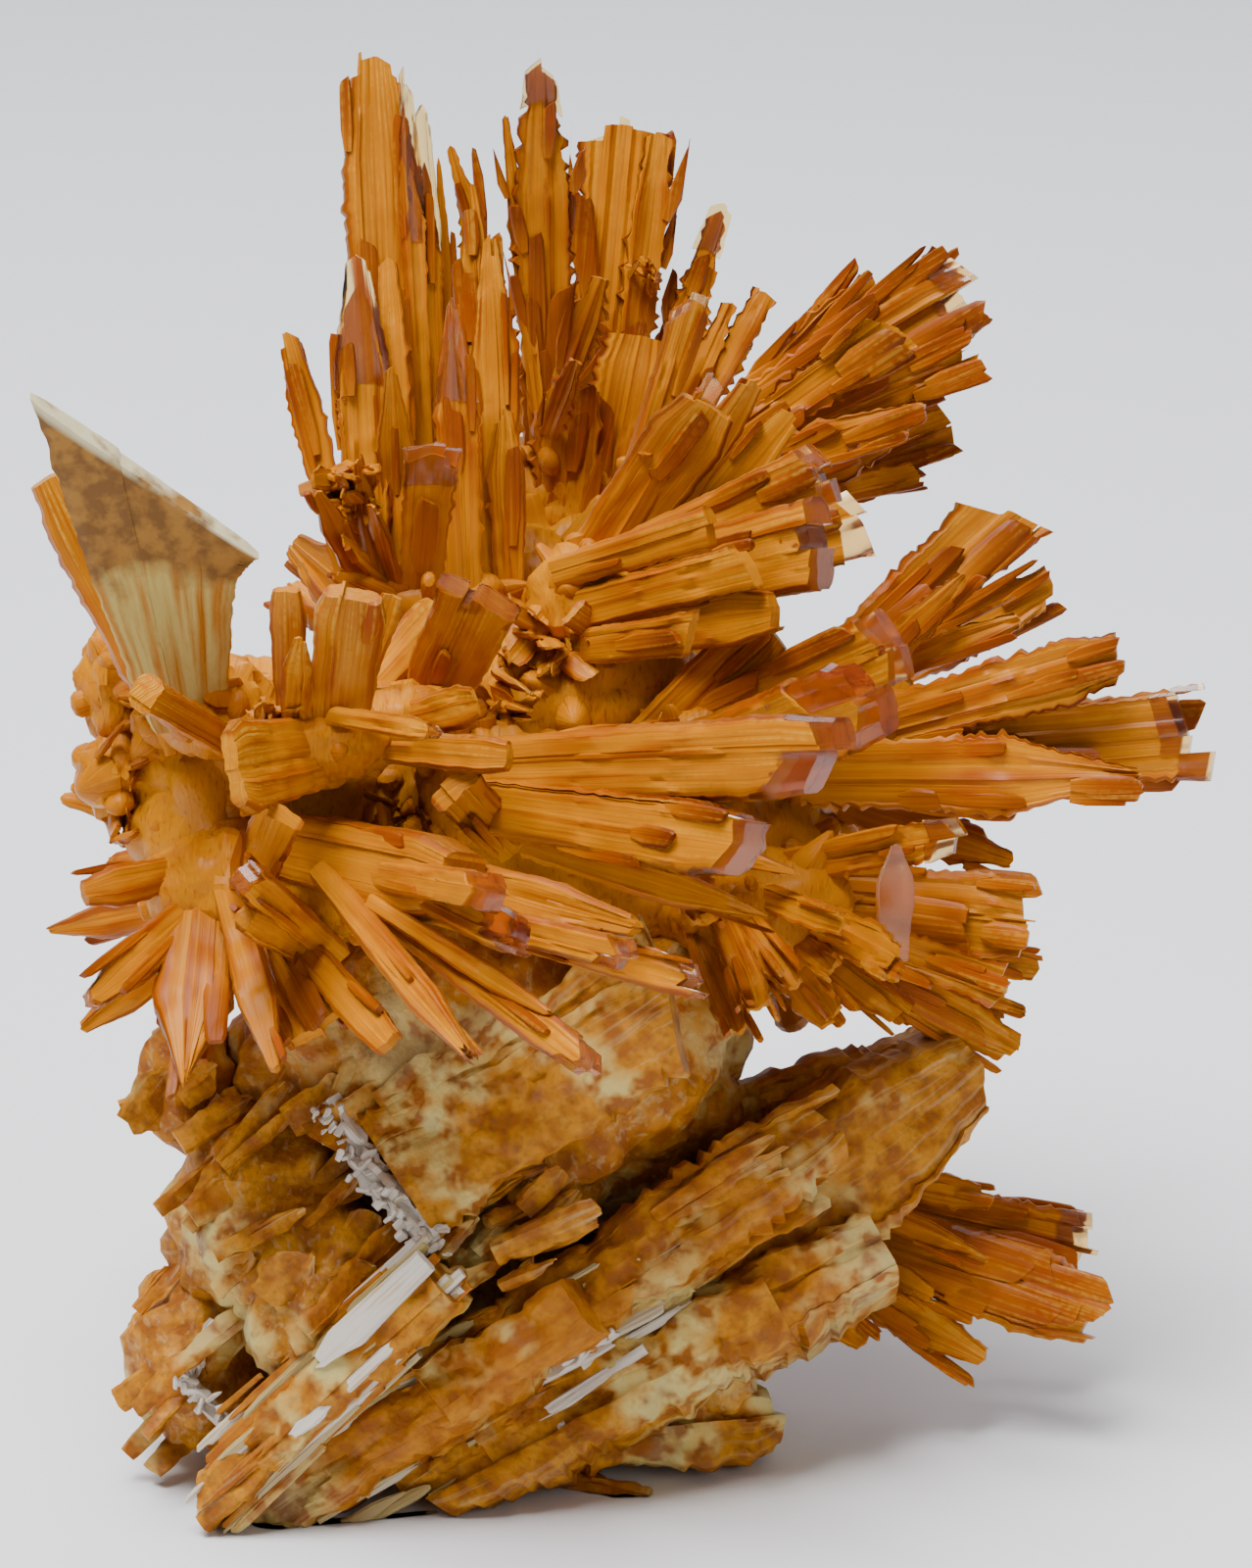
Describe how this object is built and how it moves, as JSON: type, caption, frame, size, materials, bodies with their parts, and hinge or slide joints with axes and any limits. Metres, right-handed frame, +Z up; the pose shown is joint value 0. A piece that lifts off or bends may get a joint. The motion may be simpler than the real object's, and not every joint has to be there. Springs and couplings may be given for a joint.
{
  "type": "selenite crystal cluster",
  "caption": "Ochre-coated selenite specimen: bladed and prismatic gypsum crystals that radiate from a knobbly mass on a thick cleaved slab, standing on a small flat spot.",
  "frame": {"origin": "under the middle of the specimen's box, on the surface it stands on", "axes": "+Z up; the pictured side faces -Y, so +X is the viewer's right"},
  "size_m": [0.1197, 0.1319, 0.14],
  "materials": {
    "ochre_coated_selenite": "selenite crystals under a thin satin coat of orange iron ochre, their broken ends clear",
    "crusted_gypsum": "cleaved gypsum with an ochre skin, cream crust patches and bare white fibrous breaks"
  },
  "bodies": {
    "root": {"cleaved_matrix": "crusted_gypsum", "tall_blades": "ochre_coated_selenite", "crest_blades": "ochre_coated_selenite", "upper_right_fan": "ochre_coated_selenite", "inner_right_prisms": "ochre_coated_selenite", "right_blades": "ochre_coated_selenite", "middle_prisms": "ochre_coated_selenite", "front_prisms": "ochre_coated_selenite", "left_front_prisms": "ochre_coated_selenite", "left_rosette": "ochre_coated_selenite", "left_blades": "ochre_coated_selenite", "finger_cluster": "ochre_coated_selenite", "under_right_blades": "ochre_coated_selenite", "lower_right_spray": "ochre_coated_selenite", "back_left_spray": "ochre_coated_selenite", "back_crown_spray": "ochre_coated_selenite", "back_right_spray": "ochre_coated_selenite", "back_middle_spray": "ochre_coated_selenite", "back_low_spray": "ochre_coated_selenite"}
  },
  "joints": []
}
